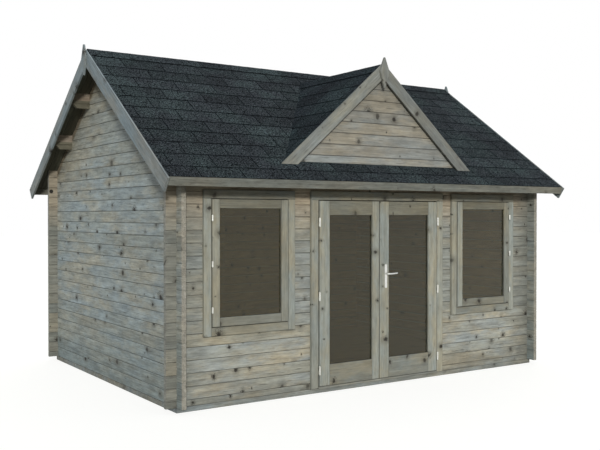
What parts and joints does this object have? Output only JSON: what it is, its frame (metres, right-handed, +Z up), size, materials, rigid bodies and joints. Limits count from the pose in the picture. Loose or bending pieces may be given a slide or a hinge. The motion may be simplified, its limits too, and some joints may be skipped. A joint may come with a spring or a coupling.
{
  "type": "garden house",
  "caption": "Weathered log garden house with a shingled gable roof, a decorative front dormer, a glazed double door that opens outwards and casement windows.",
  "frame": {"origin": "on the ground under the middle of the house", "axes": "+X along the front wall to the right as seen from the front, +Y to the rear, +Z up"},
  "size_m": [4.9892, 3.9, 3.4339],
  "materials": {
    "weathered_log": "weathered grey softwood",
    "weathered_trim": "weathered grey planed softwood",
    "sheltered_pine": "bare softwood kept from the rain",
    "bitumen_shingle": "mineral granules on bitumen felt",
    "pane_glass": "clear float glass",
    "zinc_plated_steel": "zinc plated",
    "satin_aluminium": "satin"
  },
  "bodies": {
    "house": {"foundation_beams": "weathered_trim", "floor_joists": "sheltered_pine", "floor_boards": "sheltered_pine", "left_wall": "weathered_log", "right_wall": "weathered_log", "rear_wall": "weathered_log", "front_wall_left": "weathered_log", "front_wall_right": "weathered_log", "front_wall_top": "weathered_log", "left_gable": "weathered_log", "right_gable": "weathered_log", "ridge_purlin": "sheltered_pine", "front_purlins": "sheltered_pine", "rear_purlins": "sheltered_pine", "front_roof_boards": "sheltered_pine", "rear_roof_boards": "sheltered_pine", "front_shingles": "bitumen_shingle", "rear_shingles": "bitumen_shingle", "ridge_capping": "bitumen_shingle", "eave_fascias": "weathered_trim", "gable_bargeboards": "weathered_trim", "gable_finials": "weathered_trim", "dormer_panel": "weathered_log", "dormer_roof_boards": "sheltered_pine", "dormer_shingles": "bitumen_shingle", "dormer_ridge_capping": "bitumen_shingle", "dormer_bargeboards": "weathered_trim", "dormer_finial": "weathered_trim", "window_frames": "weathered_trim", "window_casings": "weathered_trim", "window_sashes": "weathered_trim", "window_glass": "pane_glass", "window_hinges": "zinc_plated_steel", "door_threshold": "weathered_trim", "door_frame": "weathered_trim", "door_casing": "weathered_trim", "door_hinge_pins": "zinc_plated_steel"},
    "left_door": {"left_door_leaf": "weathered_trim", "left_door_glass": "pane_glass", "left_door_hinges": "zinc_plated_steel"},
    "right_door": {"right_door_leaf": "weathered_trim", "right_door_glass": "pane_glass", "right_door_hinges": "zinc_plated_steel", "door_handle_plates": "satin_aluminium"},
    "lever": {"door_lever": "satin_aluminium"}
  },
  "joints": [
    {"name": "left_door_hinge", "type": "hinge", "parent": "house", "child": "left_door", "pos_m": [-0.764, -1.681, 0.95], "axis": [0, 0, -1], "range_deg": [0, 110]},
    {"name": "right_door_hinge", "type": "hinge", "parent": "house", "child": "right_door", "pos_m": [0.764, -1.681, 0.95], "axis": [0, 0, 1], "range_deg": [0, 110]},
    {"name": "lever_turn", "type": "hinge", "parent": "right_door", "child": "lever", "pos_m": [0.0585, -1.67, 1.123], "axis": [0, 1, 0], "range_deg": [0, 45], "stiffness_Nm_per_rad": 1, "springref_deg": -28.65}
  ]
}
